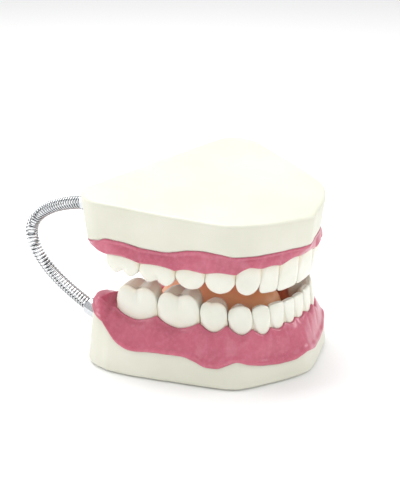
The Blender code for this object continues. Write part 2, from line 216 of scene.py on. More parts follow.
# %% Make the base finish
def base_finish():
    material, tree, shader = start_material("cast_white")
    clouds = noise(tree, 28.0, 4.0)
    grain = noise(tree, 900.0, 2.0)
    colour = ramp(tree, clouds, [(0.35, (0.65, 0.65, 0.545)), (0.65, (0.70, 0.695, 0.60))])
    tree.links.new(colour, shader.inputs["Base Color"])
    roughness_range(tree, shader, grain, 0.36, 0.5)
    add_bump(tree, shader, [(clouds, 0.5, 0.15), (grain, 0.05, 0.25)])
    shader.inputs["Subsurface Weight"].default_value = 0.08
    shader.inputs["Subsurface Radius"].default_value = (0.004, 0.0035, 0.0025)
    shader.inputs["Subsurface Scale"].default_value = 1.0
    return material


# %% [markdown]
# ## Gum finish
# The gums are a glossy dyed acrylic laid on by hand, like wax. It is translucent, so a little
# light scatters under the surface, and slow dents left by the fingers make its highlights wavy.
# Its inner side carries the flesh-coloured lining of the mouth; a value on the mesh says where.

# %% Make the gum finish
def gum_finish():
    material, tree, shader = start_material("gum_acrylic")
    clouds = noise(tree, 45.0, 3.0)
    fibres = noise(tree, 420.0, 4.0, 0.65)
    dents = noise(tree, 110.0, 2.0)
    broad = ramp(tree, clouds, [(0.3, (0.42, 0.080, 0.130)), (0.7, (0.55, 0.135, 0.200))])
    fine = ramp(tree, fibres, [(0.35, (0.44, 0.075, 0.120)), (0.62, (0.55, 0.140, 0.210))])
    colour = mix_colour(tree, fibres, broad, fine)
    lining = tree.nodes.new("ShaderNodeAttribute")
    lining.attribute_name = "lining"
    colour = mix_colour(tree, lining.outputs["Fac"], colour, (0.80, 0.34, 0.20))
    tree.links.new(colour, shader.inputs["Base Color"])
    roughness_range(tree, shader, fibres, 0.24, 0.38)
    add_bump(tree, shader, [(dents, 0.6, 0.30), (fibres, 0.06, 0.25)])
    shader.inputs["Subsurface Weight"].default_value = 0.18
    shader.inputs["Subsurface Radius"].default_value = (0.006, 0.002, 0.002)
    shader.inputs["Subsurface Scale"].default_value = 1.0
    shader.inputs["Coat Weight"].default_value = 0.25
    shader.inputs["Coat Roughness"].default_value = 0.12
    return material


# %% [markdown]
# ## Enamel finish
# The teeth are polished ivory-white plastic, a little warmer towards the neck. Darker, warmer colour in the
# notches between neighbours is painted shade, and the pink on the biting faces of the back teeth is painted
# shade as well. Each crown's mesh carries a value for neck tone with notch shade and one for top shade, made
# with its shape, and the finish mixes its colours by them. Painting each tooth would look the same but could
# not follow a change of shape.

# %% Make the enamel finish
def enamel_finish():
    material, tree, shader = start_material("tooth_enamel")
    warmth = tree.nodes.new("ShaderNodeAttribute")
    warmth.attribute_name = "warmth"
    clouds = noise(tree, 90.0, 3.0)
    grain = noise(tree, 700.0, 2.0)
    body = ramp(tree, clouds, [(0.35, (0.71, 0.715, 0.62)), (0.65, (0.76, 0.76, 0.68))])
    blush = tree.nodes.new("ShaderNodeAttribute")
    blush.attribute_name = "blush"
    # Warm colour: partly the neck's own tone, partly painted shade in the notches between crowns.
    colour = mix_colour(tree, warmth.outputs["Fac"], body, (0.74, 0.58, 0.33))
    # Pink tint on the biting faces of back teeth: painted shade.
    colour = mix_colour(tree, blush.outputs["Fac"], colour, (0.90, 0.68, 0.50))
    tree.links.new(colour, shader.inputs["Base Color"])
    roughness_range(tree, shader, grain, 0.20, 0.30)
    add_bump(tree, shader, [(clouds, 0.25, 0.2), (grain, 0.02, 0.2)])
    shader.inputs["Subsurface Weight"].default_value = 0.15
    shader.inputs["Subsurface Radius"].default_value = (0.004, 0.003, 0.0018)
    shader.inputs["Subsurface Scale"].default_value = 1.0
    shader.inputs["Coat Weight"].default_value = 0.35
    shader.inputs["Coat Roughness"].default_value = 0.10
    return material


# %% [markdown]
# ## Tongue and palate finishes
# Tongue and palate are satin flesh-coloured vinyl, more orange than the gums. The tongue has a fine pebbled
# top, and its colour is pushed close to full brightness: partly its own orange, partly painted light for the
# shaded mouth. The palate keeps the same colour a little darker.

# %% Make the flesh finishes
def flesh_finish(name, dark, light, pebble_depth):
    material, tree, shader = start_material(name)
    clouds = noise(tree, 35.0, 3.0)
    pebbles = tree.nodes.new("ShaderNodeTexVoronoi")
    pebbles.inputs["Scale"].default_value = 650.0
    coordinates = tree.nodes.new("ShaderNodeTexCoord")
    tree.links.new(coordinates.outputs["Object"], pebbles.inputs["Vector"])
    tree.links.new(ramp(tree, clouds, [(0.3, dark), (0.7, light)]), shader.inputs["Base Color"])
    roughness_range(tree, shader, clouds, 0.36, 0.5)
    add_bump(tree, shader, [(clouds, 0.5, 0.2), (pebbles.outputs["Distance"], pebble_depth, 0.3)])
    shader.inputs["Subsurface Weight"].default_value = 0.5
    shader.inputs["Subsurface Radius"].default_value = (0.012, 0.006, 0.004)
    shader.inputs["Subsurface Scale"].default_value = 1.0
    return material


# %% [markdown]
# ## Plated steel finish
# Spring wire and ferrules are bright nickel-plated steel. Drawing the wire leaves fine streaks, which show as
# a slight change of roughness rather than as colour. Where the wire faces the inside of its own coil it is
# painted nearly black as shade, so the turns read one by one.

# %% Make the steel finish
def steel_finish():
    material, tree, shader = start_material("plated_steel")
    streaks = noise(tree, 1500.0, 3.0)
    colour = ramp(tree, streaks, [(0.3, (0.56, 0.58, 0.60)), (0.7, (0.70, 0.72, 0.74))])
    inside = tree.nodes.new("ShaderNodeAttribute")
    inside.attribute_name = "inside"
    # Painted shade: nearly black where the wire faces the inside of its coil.
    colour = mix_colour(tree, inside.outputs["Fac"], colour, (0.07, 0.08, 0.08))
    tree.links.new(colour, shader.inputs["Base Color"])
    shader.inputs["Metallic"].default_value = 1.0
    roughness_range(tree, shader, streaks, 0.14, 0.26)
    add_bump(tree, shader, [(streaks, 0.01, 0.2)])
    return material


FINISHES = {
    "base_white": base_finish(),
    "gum_pink": gum_finish(),
    "tooth_enamel": enamel_finish(),
    # The tongue's colours are raised near full brightness, partly as painted light for the shaded mouth.
    "tongue_flesh": flesh_finish("tongue_vinyl", (0.98, 0.46, 0.24), (1.0, 0.54, 0.32), 0.08),
    "palate_flesh": flesh_finish("palate_vinyl", (0.74, 0.33, 0.18), (0.82, 0.39, 0.23), 0.03),
    "spring_chrome": steel_finish(),
}
print("finishes:", ", ".join(FINISHES))

# %% [markdown]
# ## The rows of teeth
# Teeth stand side by side along an arch. The arch could be a spline through hand-placed points.
# A rule is shorter: its direction turns quickly near the front and then hardly at all, which a
# hyperbolic tangent of the way s along it does. Everything else in a jaw is placed by s and by
# how far it stands out from the arch.

# %% Helper: smooth curve through a short table
def curve_through(table, places):
    """A smooth curve without overshoot through the (place, value) rows of a table."""
    x = np.array([row[0] for row in table], float)
    y = np.array([row[1] for row in table], float)
    step = np.diff(x)
    slope = np.diff(y) / step
    tangent = np.zeros(len(x))
    same_way = slope[:-1] * slope[1:] > 0
    inner = np.where(same_way, 2 * slope[:-1] * slope[1:] / np.where(same_way, slope[:-1] + slope[1:], 1), 0)
    tangent[1:-1] = inner
    at = np.clip(np.asarray(places, float), x[0], x[-1])
    k = np.clip(np.searchsorted(x, at) - 1, 0, len(step) - 1)
    t = (at - x[k]) / step[k]
    h = step[k]
    return ((2 * t ** 3 - 3 * t ** 2 + 1) * y[k] + (t ** 3 - 2 * t ** 2 + t) * h * tangent[k]
            + (3 * t ** 2 - 2 * t ** 3) * y[k + 1] + (t ** 3 - t ** 2) * h * tangent[k + 1])


def ease(value, start, end):
    """0 before start, 1 after end, smooth between."""
    t = np.clip((np.asarray(value, float) - start) / (end - start), 0.0, 1.0)
    return t * t * (3 - 2 * t)


# %% The two jaws' driving dimensions, in millimetres
# Heights are counted from each jaw's flat outer face towards the biting edges. Each table pairs
# a place s along the row with a value there: shelf is how far the base stands out from the row,
# taper how much it leans in, edge where gum and base meet, pad the gum past the last tooth, tip
# the biting edges, papilla the gum's peaks between teeth.
LOWER = {
    "name": "lower", "body": "lower_jaw",
    "turn": math.radians(75.5), "ease": 38.2, "power": 1.58, "front": -41.2, "row_end": 108.0,
    "taper": [(0, 0.12), (100, 0.12)], "floor": 19.0, "lip": 0.9, "bulge": -0.3,
    "scallop": 1.5, "root": 0.2,
    "shelf": [(0, 12.6), (5.5, 11.6), (12, 10.1), (18, 9.3), (24, 10.1), (30, 11.8), (36, 13.6),
              (40, 13.6), (44, 13.1), (59, 13.8), (78, 15.7), (95, 17.3), (102, 17), (108, 15.3),
              (111, 13), (114, 10.5), (117, 8.5), (175, 8.5)],
    "edge": [(0, 13), (8, 11), (15, 10.8), (23, 12), (30, 14), (35, 16.2), (39, 14.4), (44, 11.8),
             (49, 12), (55, 14.6), (62, 16.2), (76, 16), (88, 15.2), (96, 17), (105, 24.8),
             (110, 30), (114, 34.5), (118, 35), (137, 26), (175, 26)],
    "pad": [(104, 32), (111, 38.5), (117, 37.5), (125, 30), (136, 27.5), (175, 27.5)],
    "tip": [(0, 41.8), (14, 42.8), (24, 43.5), (34, 43.9), (47, 45.2), (60, 47.3), (83, 48), (100, 47)],
    "papilla": [(0, 1.4), (18, 2.0), (28, 3.4), (40, 4.6), (60, 3.8), (104, 4.4)],
    # kind, width, crown height, outer side, inner side
    "teeth": [("central_incisor", 9.0, 13.0, 3.2, 6.0), ("lateral_incisor", 9.6, 14.2, 3.5, 6.2),
              ("canine", 9.4, 16.0, 4.2, 7.6), ("first_premolar", 12.4, 16.1, 4.0, 9.6),
              ("second_premolar", 14.6, 16.8, 4.0, 10.4), ("first_molar", 24.6, 20.0, 4.2, 15.0),
              ("second_molar", 24.6, 19.4, 4.2, 15.0)],
}
UPPER = {
    "name": "upper", "body": "upper_jaw",
    "turn": math.radians(75.6), "ease": 48.1, "power": 1.36, "front": -45.9, "row_end": 113.0,
    "taper": [(0, 0.04), (40, 0.07), (80, 0.17)], "floor": 17.0, "lip": 0.15, "bulge": 1.4,
    "scallop": 1.8, "root": 0.5,
    "shelf": [(0, 7.4), (4, 6.3), (10, 4.4), (17, 3.4), (30, 3.6), (39, 4.9), (47, 5.5), (59, 5.1),
              (71, 5.4), (84, 6.4), (96, 7.1), (104, 7.6), (111, 8.5), (115, 8.9), (119, 10.4),
              (122, 11.8), (180, 11.8)],
    "edge": [(0, 16.6), (6, 17), (15, 17.2), (24, 17.8), (32, 18.4), (40, 18.4), (47, 17.2),
             (55, 17), (63, 18.2), (71, 20.8), (79, 22.4), (90, 22.6), (101, 21.4), (109, 21.2),
             (114, 23.4), (118, 25.6), (123, 26.4), (142, 22), (180, 22)],
    "pad": [(108, 30.4), (113, 29.8), (118, 28.6), (123, 27.8), (132, 25), (142, 23.5), (180, 23.5)],
    "tip": [(0, 42.2), (20, 40.9), (31, 41.4), (46, 40.9), (62, 40.6), (83, 41.7), (98, 41.3), (110, 40)],
    "papilla": [(0, 1.6), (20, 1.4), (38, 1.2), (60, 1.0), (110, 1.4)],
    "teeth": [("central_incisor", 14.9, 19.0, 2.8, 7.4), ("lateral_incisor", 10.9, 16.6, 2.6, 7.0),
              ("canine", 13.0, 17.2, 3.4, 8.6), ("first_premolar", 15.4, 13.3, 3.4, 12.6),
              ("second_premolar", 15.8, 12.1, 3.4, 12.6), ("first_molar", 20.5, 11.7, 3.6, 15.6),
              ("second_molar", 19.5, 11.8, 3.6, 15.2)],
}
JAWS = (LOWER, UPPER)
SIDES = {"right": -1.0, "left": 1.0}
CORNER_RADIUS = 5.0
DEEPEST_CORNER = 4.0
STRAIGHTENED = 15.0
SPINE = (-18.0, 30.0)
UPPER_TOP = 95.0
UPPER_PITCH = math.radians(4.6)


# %% Walk along a row and round a jaw
def heading(jaw, s):
    return jaw["turn"] * np.tanh((np.abs(s) / jaw["ease"]) ** jaw["power"])


def row_points(jaw, places):
    """x and y of the row at the places s; a negative s is on the model's right."""
    fine = np.linspace(0.0, jaw["row_end"] + 6.0, 2400)
    middle = heading(jaw, (fine[1:] + fine[:-1]) / 2)
    step = fine[1] - fine[0]
    x = np.concatenate([[0.0], np.cumsum(np.cos(middle) * step)])
    y = jaw["front"] + np.concatenate([[0.0], np.cumsum(np.sin(middle) * step)])
    places = np.asarray(places, float)
    return np.sign(places) * np.interp(np.abs(places), fine, x), np.interp(np.abs(places), fine, y)


def round_the_jaw(jaw, columns):
    """Evenly spaced places round a jaw: way s (negative on the right), position, outward way."""
    end = jaw["row_end"]
    row = np.linspace(0.0, end, 900)
    x, y = row_points(jaw, row)
    angle = heading(jaw, row)
    first = angle[-1]
    centre_x = x[-1] - CORNER_RADIUS * math.sin(first)
    centre_y = y[-1] + CORNER_RADIUS * math.cos(first)
    corner = np.linspace(first, math.pi, 80)[1:]
    back = np.linspace(centre_x, 0.0, 300)[1:]
    s = np.concatenate([row, end + CORNER_RADIUS * (corner - first),
                        end + CORNER_RADIUS * (math.pi - first) + centre_x - back])
    x = np.concatenate([x, centre_x + CORNER_RADIUS * np.sin(corner), back])
    y = np.concatenate([y, centre_y - CORNER_RADIUS * np.cos(corner),
                        np.full(len(back), centre_y + CORNER_RADIUS)])
    angle = np.concatenate([angle, corner, np.full(len(back), math.pi)])
    half = np.linspace(0.0, s[-1], columns // 2 + 1)
    half_x, half_y = np.interp(half, s, x), np.interp(half, s, y)
    half_angle = np.interp(half, s, angle)
    in_x = -np.sin(np.minimum(half_angle, first)) * np.minimum(1.0, half_x / centre_x)
    in_x = np.where(half < end, -np.sin(half_angle), in_x)
    in_y = np.cos(half_angle) * (1 - ease(half, end - STRAIGHTENED, end))
    left = np.stack([half, half_x, half_y, np.sin(half_angle), -np.cos(half_angle), in_x, in_y], 1)
    right = left[-2:0:-1] * np.array([-1.0, -1.0, 1.0, -1.0, 1.0, -1.0, 1.0])
    loop = np.concatenate([left, right])
    keys = ("s", "x", "y", "out_x", "out_y", "in_x", "in_y")
    return dict(zip(keys, loop.T), s=np.abs(loop[:, 0]), side=np.sign(loop[:, 0]))


def jaw_ring(loop, offset, height, inwards=0.0):
    """A ring of points: offset outwards from the row, then a share of the way to the middle."""
    near = np.maximum(offset, -DEEPEST_CORNER)
    deep = np.maximum(-offset - DEEPEST_CORNER, 0.0)
    x = loop["x"] + near * loop["out_x"] + deep * loop["in_x"]
    y = loop["y"] + near * loop["out_y"] + deep * loop["in_y"]
    x = x * (1.0 - inwards)
    y = y + inwards * (np.clip(y, *SPINE) - y)
    return np.stack([x, y, np.broadcast_to(height, x.shape)], 1)


def into_model(jaw, points):
    """From a jaw's own heights to the model's millimetres."""
    points = np.asarray(points, float)
    if jaw is LOWER:
        return points
    cosine, sine = math.cos(UPPER_PITCH), math.sin(UPPER_PITCH)
    x, y, z = points[..., 0], points[..., 1], -points[..., 2]
    return np.stack([x, y * cosine - z * sine, UPPER_TOP + y * sine + z * cosine], -1)


# %% Helpers: from rows of points to a finished piece
def smooth_rows(rows, steps):
    """Extra rows between the given ones, on smooth curves through them."""
    rows = np.asarray(rows, float)
    padded = np.concatenate([rows[:1], rows, rows[-1:]])
    out = []
    for k in range(1, len(padded) - 2):
        before, here, after, beyond = padded[k - 1:k + 3]
        for step in range(steps):
            t = step / steps
            out.append(0.5 * (2 * here + (after - before) * t
                              + (2 * before - 5 * here + 4 * after - beyond) * t ** 2
                              + (3 * here - before - 3 * after + beyond) * t ** 3))
    out.append(rows[-1])
    return np.array(out)


def mesh_from_rings(name, rings, **attributes):
    """A closed mesh through rings of points in millimetres, with a fan to the middle of each end.

    Each attribute holds one value per ring point and is stored on the mesh by its name.
    """
    rings = np.asarray(rings, float)
    count, around, _ = rings.shape
    points = rings.reshape(-1, 3)
    index = np.arange(count * around).reshape(count, around)
    after = np.roll(index, -1, axis=1)
    faces = np.stack([index[:-1], after[:-1], after[1:], index[1:]], -1).reshape(-1, 4).tolist()
    first, last = count * around, count * around + 1
    points = np.concatenate([points, [rings[0].mean(0), rings[-1].mean(0)]])
    faces += [[int(b), int(a), first] for a, b in zip(index[0], after[0])]
    faces += [[int(a), int(b), last] for a, b in zip(index[-1], after[-1])]
    a, b, c = (points[[face[k] for face in faces]] for k in range(3))
    d = points[[face[-1] for face in faces]]
    volume = np.einsum("ij,ij->i", a, np.cross(b, c)).sum() + np.einsum("ij,ij->i", a, np.cross(c, d)).sum()
    if volume < 0:
        faces = [face[::-1] for face in faces]
    mesh = bpy.data.meshes.new(name)
    mesh.from_pydata((points * MM).tolist(), [], faces)
    for key, values in attributes.items():
        flat = np.concatenate([values.reshape(-1), [values[0].mean(), values[-1].mean()]])
        attribute = mesh.attributes.new(key, "FLOAT", "POINT")
        attribute.data.foreach_set("value", flat.astype(np.float32))
    mesh.shade_smooth()
    piece = bpy.data.objects.new(name, mesh)
    bpy.context.scene.collection.objects.link(piece)
    return piece


def finish_piece(piece, slot, body, *nodes):
    """Give a piece its body and the finish named by its slot, and hide the CAD nodes it stands for."""
    piece.data.materials.append(FINISHES[slot])
    if body is not None:
        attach(piece, body)
    if nodes:
        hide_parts(*nodes)
    return piece


# %% [markdown]
# ## White bases
# Each base is a trimmed slab: flat outside, walls that lean in a little (hardly at all at the
# front of the upper one), a straight back and a blunt point at the front teeth. The edge
# towards the teeth rises and falls with the gum that covers it.
# A bevelled box could not follow the arch, so rings are lofted round the jaw, with close rows
# where the rim is rounded.

# %% Make the bases
COLUMNS = 480
RIM_ROUND = 2.2


def base_rings(jaw, loop):
    s = loop["s"]
    edge = curve_through(jaw["edge"], s)
    hand_rubbed = 0.12 * np.sin(0.19 * s + 0.7 * loop["side"]) + 0.08 * np.sin(0.43 * s + 1.1)
    shelf = curve_through(jaw["shelf"], s) + hand_rubbed
    taper = curve_through(jaw["taper"], s)
    rows = [jaw_ring(loop, shelf - RIM_ROUND, 0.0, 0.85), jaw_ring(loop, shelf - RIM_ROUND, 0.0, 0.4),
            jaw_ring(loop, shelf - RIM_ROUND - 1.5, 0.0)]
    for step in range(7):
        turn = math.pi / 2 * step / 6
        rows.append(jaw_ring(loop, shelf - RIM_ROUND * (1 - math.sin(turn)) - taper * RIM_ROUND
                             * (1 - math.cos(turn)), RIM_ROUND * (1 - math.cos(turn))))
    for share in (0.25, 0.5, 0.75, 0.95):
        height = RIM_ROUND + share * (edge - RIM_ROUND)
        rows.append(jaw_ring(loop, shelf - taper * height, height))
    rows.append(jaw_ring(loop, shelf - taper * edge - 0.3, edge))
    rows.append(jaw_ring(loop, shelf - taper * edge - 2.0, edge - 0.6))
    rows.append(jaw_ring(loop, 0.0, np.minimum(edge - 1.0, 14.0)))
    rows.append(jaw_ring(loop, 0.0, 12.0, 0.6))
    return np.array([into_model(jaw, row) for row in rows])


for jaw in JAWS:
    loop = round_the_jaw(jaw, COLUMNS)
    base = mesh_from_rings(f"{jaw['name']}_base_casting", base_rings(jaw, loop))
    finish_piece(base, "base_white", jaw["body"], f"{jaw['name']}_base")
    print(base.name, len(base.data.polygons), "faces")


# %% [markdown]
# ## What each kind of tooth looks like
# Before gums and crowns are made, each kind of tooth gets a short table. Its profile says how
# wide and deep the crown is at a share of its height. Its cusps are rounded cones: where two of
# them meet, the groove between the cusps appears by itself.

# %% Tables of crown shapes
# Rows of a profile: share of the crown's height, of its half width, of its outer and inner side.
UPPER_INCISOR = [(-0.14, 0.50, 0.50, 0.60), (0.0, 0.62, 0.86, 0.90), (0.14, 0.78, 0.98, 0.96),
                 (0.34, 0.92, 0.97, 0.80), (0.62, 0.99, 0.88, 0.52), (0.86, 1.0, 0.72, 0.32),
                 (0.96, 0.95, 0.60, 0.20), (1.0, 0.84, 0.40, 0.10), (0.995, 0.50, 0.18, 0.02)]
UPPER_CANINE = [(-0.14, 0.56, 0.50, 0.60), (0.0, 0.70, 0.88, 0.90), (0.16, 0.86, 1.0, 0.96),
                (0.42, 1.0, 0.98, 0.82), (0.68, 0.99, 0.88, 0.56), (0.86, 0.91, 0.70, 0.38),
                (0.96, 0.78, 0.52, 0.22), (1.0, 0.58, 0.32, 0.10), (0.995, 0.30, 0.16, 0.02)]
UPPER_PREMOLAR = [(-0.16, 0.66, 0.52, 0.60), (0.0, 0.80, 0.86, 0.88), (0.16, 0.92, 0.98, 0.96),
                  (0.42, 1.0, 1.0, 1.0), (0.68, 0.98, 0.90, 0.96), (0.86, 0.88, 0.74, 0.86),
                  (0.97, 0.72, 0.54, 0.70), (1.0, 0.50, 0.32, 0.48), (0.98, 0.25, 0.10, 0.20)]
UPPER_MOLAR = [(-0.16, 0.78, 0.52, 0.60), (0.0, 0.88, 0.86, 0.90), (0.16, 0.95, 0.98, 0.97),
               (0.44, 1.0, 1.0, 1.0), (0.72, 0.98, 0.90, 0.96), (0.89, 0.91, 0.74, 0.87),
               (0.975, 0.80, 0.57, 0.75), (1.0, 0.60, 0.34, 0.52), (0.98, 0.28, 0.10, 0.22)]
LOWER_INCISOR = [(-0.15, 0.34, 0.55, 0.60), (0.0, 0.50, 0.90, 0.92), (0.12, 0.68, 1.0, 0.96),
                 (0.35, 0.86, 0.94, 0.76), (0.65, 0.96, 0.80, 0.48), (0.90, 1.0, 0.66, 0.30),
                 (0.975, 0.97, 0.54, 0.22), (1.0, 0.88, 0.36, 0.10), (0.995, 0.50, 0.18, 0.02)]
LOWER_CANINE = [(-0.15, 0.34, 0.55, 0.60), (0.0, 0.50, 0.88, 0.92), (0.12, 0.70, 1.0, 0.96),
                (0.35, 0.90, 1.0, 0.84), (0.64, 1.0, 0.88, 0.60), (0.88, 1.0, 0.70, 0.38),
                (0.965, 0.94, 0.56, 0.26), (1.0, 0.78, 0.38, 0.12), (0.995, 0.40, 0.18, 0.02)]
LOWER_PREMOLAR = [(-0.16, 0.34, 0.55, 0.60), (0.0, 0.50, 0.84, 0.86), (0.12, 0.72, 0.96, 0.93),
                  (0.32, 0.92, 1.0, 0.98), (0.56, 1.0, 0.98, 1.0), (0.78, 0.99, 0.86, 0.95),
                  (0.91, 0.93, 0.70, 0.84), (0.98, 0.82, 0.52, 0.68), (1.0, 0.60, 0.30, 0.46),
                  (0.98, 0.28, 0.10, 0.20)]
LOWER_MOLAR = [(-0.14, 0.50, 0.55, 0.62), (0.0, 0.64, 0.80, 0.84), (0.10, 0.80, 0.92, 0.92),
               (0.26, 0.94, 1.0, 0.98), (0.48, 1.0, 1.0, 1.0), (0.68, 0.99, 0.94, 0.97),
               (0.84, 0.95, 0.88, 0.92), (0.94, 0.88, 0.78, 0.84), (0.99, 0.76, 0.64, 0.70),
               (1.0, 0.52, 0.40, 0.46), (0.985, 0.22, 0.12, 0.18)]
FOUR_CUSPS = [(-0.46, 0.50, 0.0, 0.42), (0.46, 0.50, -0.4, 0.42), (-0.44, -0.50, 0.1, 0.46),
              (0.44, -0.50, -0.3, 0.46)]


def kind(profile, cusps=(), drop=0.0, square=2.5, tilt=0.0, groove=0.0, corner=(0.4, 0.9), blush=0.0):
    """One kind of tooth. A cusp is (towards the back, outwards, height in mm, half width)."""
    return {"profile": np.array(profile), "cusps": cusps, "drop": drop, "square": square,
            "tilt": tilt, "groove": groove, "corner": corner, "blush": blush}


KINDS = {
    "upper": [kind(UPPER_INCISOR, square=2.7, corner=(0.4, 1.2)),
              kind(UPPER_INCISOR, square=2.6, corner=(0.6, 1.8)),
              kind(UPPER_CANINE, [(-0.05, 0.30, 0.0, 0.95)], 3.0, 2.5),
              kind(UPPER_PREMOLAR, [(0.0, 0.42, 0.0, 0.98), (0.0, -0.5, -1.2, 0.9)], 3.0, 2.5),
              kind(UPPER_PREMOLAR, [(0.0, 0.42, 0.0, 0.98), (0.0, -0.5, -0.8, 0.9)], 2.8, 2.5),
              kind(UPPER_MOLAR, FOUR_CUSPS, 2.0, 2.6, groove=0.7),
              kind(UPPER_MOLAR, FOUR_CUSPS, 2.2, 2.6, groove=0.8)],
    # Back teeth carry a share of pink painted shade on their biting faces.
    "lower": [kind(LOWER_INCISOR, square=2.9, tilt=0.4, corner=(0.3, 0.6)),
              kind(LOWER_INCISOR, square=2.9, tilt=0.7, corner=(0.3, 0.9)),
              kind(LOWER_CANINE, [(-0.1, 0.35, 0.0, 1.0)], 1.6, 2.7, tilt=1.2),
              kind(LOWER_PREMOLAR, [(-0.12, 0.42, 0.0, 1.0), (0.0, -0.45, -1.6, 0.9)], 2.2, 2.6,
                   tilt=1.4, blush=0.10),
              kind(LOWER_PREMOLAR, [(-0.30, 0.42, 0.0, 0.72), (0.42, 0.42, -0.2, 0.62),
                                    (0.0, -0.50, -0.4, 0.9)], 2.2, 2.6, tilt=0.6, groove=0.15,
                   blush=0.35),
              kind(LOWER_MOLAR, FOUR_CUSPS, 2.2, 2.5, groove=1.1, blush=0.20),
              kind(LOWER_MOLAR, FOUR_CUSPS, 2.2, 2.5, groove=1.1, blush=0.26)],
}


# %% [markdown]
# ## Gums
# The gum covers the base and dips in a scallop round every tooth, with a small peak between
# neighbours. Below, it ends in a thick wavy lip that stands a little proud of the white wall.
# Sculpting it by hand would take long and would not follow the teeth; here each ring round the
# jaw gets its offset and its height from the teeth's widths, so the scallops always fit.

# %% Work out the scalloped margin
def tooth_places(jaw):
    """Start and end of each tooth along the row."""
    ends = np.cumsum([tooth[1] for tooth in jaw["teeth"]])
    return list(zip(np.concatenate([[0.0], ends[:-1]]), ends))


def crown_foot(jaw, number):
    """Height of the gum line at the middle of a crown's outer face."""
    start, end = tooth_places(jaw)[number]
    return float(curve_through(jaw["tip"], (start + end) / 2)) - jaw["teeth"][number][2]


def gum_margin(jaw, s):
    """Height of the gum's top, its outer offset, and how far each place is off its tooth's middle."""
    places = tooth_places(jaw)
    feet = np.array([crown_foot(jaw, number) for number in range(len(places))])
    peaks = [feet[0]] + [max(pair) for pair in zip(feet[:-1], feet[1:])] + [feet[-1]]
    contacts = [place[0] for place in places] + [places[-1][1]]
    peaks = [peak + float(curve_through(jaw["papilla"], place)) for peak, place in zip(peaks, contacts)]
    margin = curve_through(jaw["pad"], s)
    off_middle = np.ones(len(s))
    middles = [(start + end) / 2 for start, end in places]
    outer = curve_through(list(zip(middles, [tooth[3] for tooth in jaw["teeth"]])), s)
    for number, (start, end) in enumerate(places):
        inside = (s >= start) & (s < end)
        lowest = middles[number] - KINDS[jaw["name"]][number]["tilt"]
        before = s[inside] < lowest
        off = np.where(before, (lowest - s[inside]) / (lowest - start), (s[inside] - lowest) / (end - lowest))
        peak = np.where(before, peaks[number], peaks[number + 1])
        margin[inside] = feet[number] + (peak - feet[number]) * off ** jaw["scallop"]
        off_middle[inside] = off
    last = places[-1][1]
    past = s >= last
    blend = ease(s[past], last, last + 6.0)
    margin[past] = (1 - blend) * peaks[-1] + blend * margin[past]
    return margin, outer, off_middle


# %% Loft the gums
INNER_SIDE = [(0, 7.0), (30, 8.0), (40, 11.0), (60, 14.0), (75, 15.5), (175, 15.5)]
GUM_ROW_STEPS = 4
LINING_START = 12.0


def gum_rings(jaw, loop):
    s = loop["s"]
    edge = curve_through(jaw["edge"], s)
    wall = curve_through(jaw["shelf"], s) - curve_through(jaw["taper"], s) * edge
    margin, outer, off_middle = gum_margin(jaw, s)
    margin = np.maximum(margin, edge + 1.2)
    rise = margin - edge
    inner = curve_through(INNER_SIDE, s)
    behind = ease(s, jaw["row_end"] - 3.0, jaw["row_end"] + 6.0)
    brow = outer + 0.9 - off_middle ** 3
    brow = np.minimum(brow, wall + jaw["bulge"])
    brow = brow * (1 - behind) + (wall - 1.2) * behind
    root = jaw["root"] * (1 - off_middle ** 2) * (1 - behind)
    lip = wall + jaw["lip"] + 0.12 * np.sin(0.31 * s + loop["side"]) + 0.1 * np.sin(0.83 * s)
    inner_top = margin - 1.6
    floor = jaw["floor"]
    flare = 1.5 * jaw["lip"]
    rows = [
        jaw_ring(loop, wall - 3.0, edge + 0.2),
        jaw_ring(loop, wall - 0.2, edge - 0.1),
        jaw_ring(loop, lip - 0.35, edge - 0.05),
        jaw_ring(loop, lip, edge + 0.55),
        jaw_ring(loop, lip - 0.25 * flare, edge + 0.10 * rise + 0.5),
        jaw_ring(loop, 0.96 * lip + 0.04 * brow - flare, edge + 0.22 * rise + 0.3),
        jaw_ring(loop, 0.76 * lip + 0.24 * brow - 0.8 * flare + 0.6 * root, edge + 0.40 * rise),
        jaw_ring(loop, 0.50 * lip + 0.50 * brow - 0.4 * flare + root, edge + 0.60 * rise),
        jaw_ring(loop, 0.22 * lip + 0.78 * brow + root, edge + 0.81 * rise),
        jaw_ring(loop, brow + 0.25, margin - 0.9),
        jaw_ring(loop, brow - 0.45, margin - 0.1),
        jaw_ring(loop, brow - 1.6, margin + 0.05),
        jaw_ring(loop, -0.35 * inner, margin - 0.4),
        jaw_ring(loop, -inner + 1.4, inner_top + 0.2),
        jaw_ring(loop, -inner - 0.3, inner_top - 0.9),
        jaw_ring(loop, -inner - 1.0, np.maximum(inner_top - 6.5, floor + 1.0), 0.05),
        jaw_ring(loop, -inner - 1.0, floor + 0.2, 0.14),
        jaw_ring(loop, -inner - 1.0, floor, 0.40),
        jaw_ring(loop, -inner - 1.0, floor, 0.85),
    ]
    rows = smooth_rows(rows, GUM_ROW_STEPS)
    lining = ease(np.arange(len(rows)) / GUM_ROW_STEPS, LINING_START, LINING_START + 1.5)
    return into_model(jaw, rows), lining[:, None] * np.ones(len(s))


for jaw in JAWS:
    loop = round_the_jaw(jaw, COLUMNS)
    rings, lining = gum_rings(jaw, loop)
    gum = mesh_from_rings(f"{jaw['name']}_gum_acrylic", rings, lining=lining)
    finish_piece(gum, "gum_pink", jaw["body"], f"{jaw['name']}_gum")
    print(gum.name, len(gum.data.polygons), "faces")


# %% [markdown]
# ## Teeth
# A crown is narrow at the neck, widest at the belly and closes over its cusps. Subdivided boxes
# give teeth that all look alike, so each crown is lofted from squarish rings by the table of
# its kind, and its top is raised and lowered by the cusps. Low down a thin web widens the ring
# as far as the neighbour, because the crowns are joined there like teeth on one strip.

# %% Shape one crown
TOOTH_SIDES = 64
TOOTH_ROW_STEPS = 5
# Shares of a crown's outer side: how far the web stands out, and where neighbours meet.
WEB = 0.45
SEAM = 0.45
CROWN_GAP = 0.12
CUSP_SOFTNESS = 0.35
CUSP_DEPTH = 0.85


